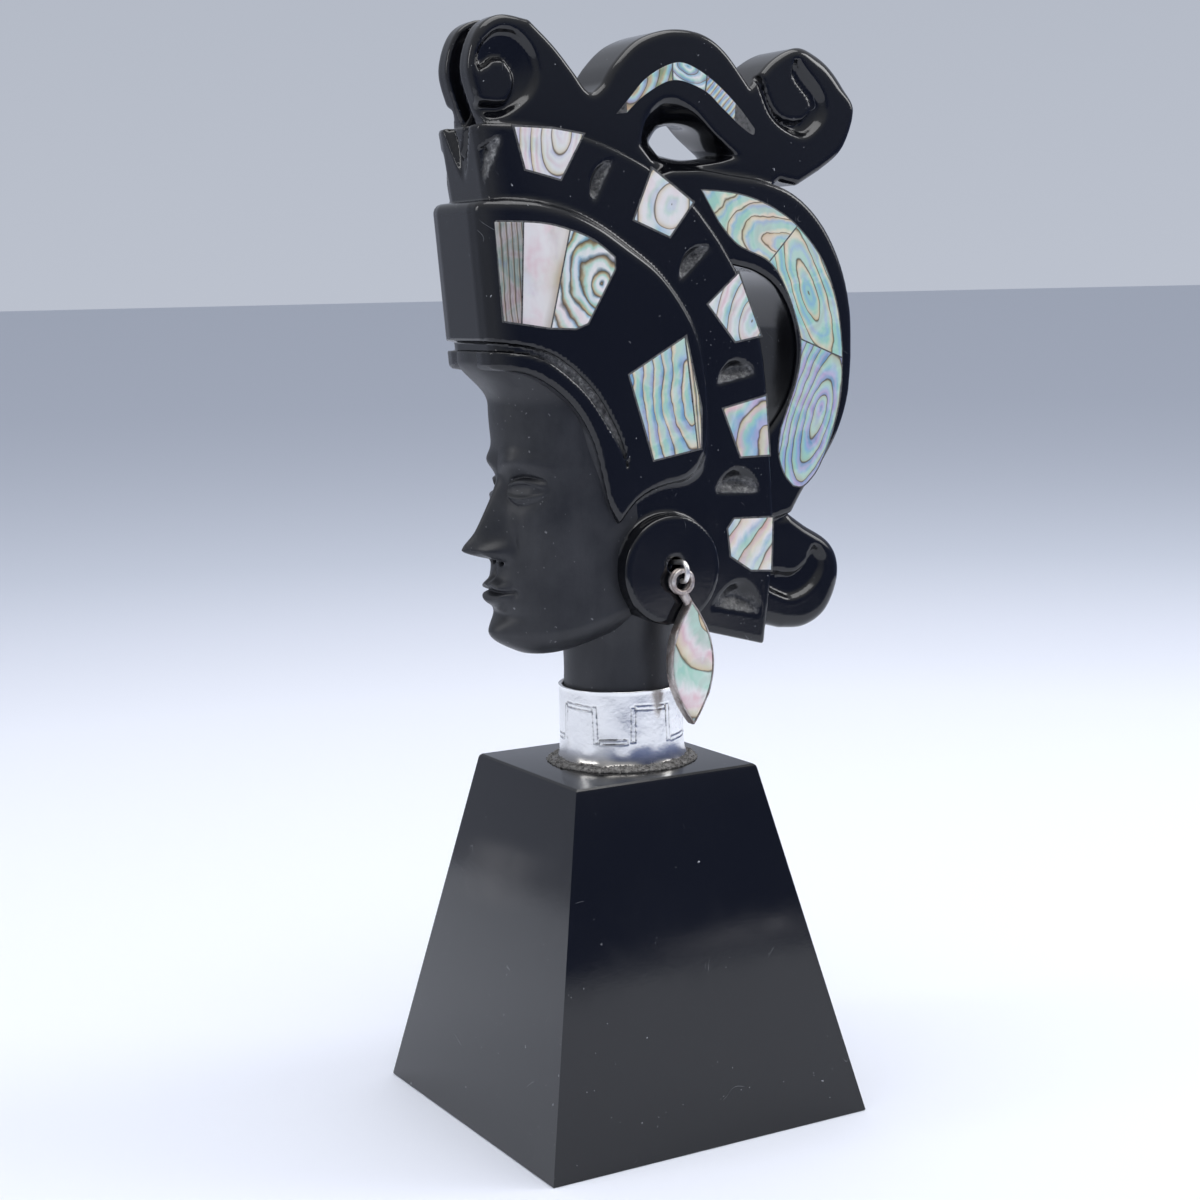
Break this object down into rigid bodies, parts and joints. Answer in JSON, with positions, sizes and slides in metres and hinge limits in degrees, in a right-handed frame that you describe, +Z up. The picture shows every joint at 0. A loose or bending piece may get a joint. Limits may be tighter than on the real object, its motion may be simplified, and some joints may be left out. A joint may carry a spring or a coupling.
{
  "type": "carved head sculpture",
  "caption": "Carved black onyx head in a tall plumed headdress with scrolls and shell inlay, silver collar and leaf earrings, on a square tapering plinth.",
  "frame": {"origin": "middle of the plinth's underside, at the floor", "axes": "+Z up, -Y towards the front of the face, +X towards the head's left side"},
  "size_m": [0.07, 0.0895, 0.2108],
  "materials": {
    "black_onyx": "polished, with broad soft reflections, fine scratches and a little dust",
    "carved_onyx": "polished headdress, matte charcoal face and neck, rough whitish grooves and notches",
    "silver": "bright hammered silver with dark engraved lines",
    "aged_silver": "tarnished silver with a brown-red patina",
    "shell": "polished iridescent shell, pale green, blue and pink with brown growth lines",
    "glue": "grey gritty glue with small glints"
  },
  "bodies": {
    "root": {"plinth": "black_onyx", "head": "carved_onyx", "collar": "silver", "glue_bead": "glue", "band_tile_1_left": "shell", "band_tile_1_right": "shell", "band_tile_2_left": "shell", "band_tile_2_right": "shell", "band_tile_3_left": "shell", "band_tile_3_right": "shell", "band_tile_4_left": "shell", "band_tile_4_right": "shell", "band_tile_5_left": "shell", "band_tile_5_right": "shell", "front_plaque_striped_left": "shell", "front_plaque_striped_right": "shell", "front_plaque_pearl_left": "shell", "front_plaque_pearl_right": "shell", "front_plaque_abalone_left": "shell", "front_plaque_abalone_right": "shell", "side_plaque_left": "shell", "side_plaque_right": "shell", "side_plaque_strip_left": "shell", "side_plaque_strip_right": "shell", "wave_tile_1_left": "shell", "wave_tile_1_right": "shell", "wave_tile_2_left": "shell", "wave_tile_2_right": "shell", "wave_tile_3_left": "shell", "wave_tile_3_right": "shell", "crescent_tile_1_left": "shell", "crescent_tile_1_right": "shell", "crescent_tile_2_left": "shell", "crescent_tile_2_right": "shell", "crescent_tile_3_left": "shell", "crescent_tile_3_right": "shell", "earring_hook_left": "silver", "earring_hook_right": "silver", "earring_bezel_left": "aged_silver", "earring_bezel_right": "aged_silver", "earring_shell_left": "shell", "earring_shell_right": "shell"}
  },
  "joints": []
}
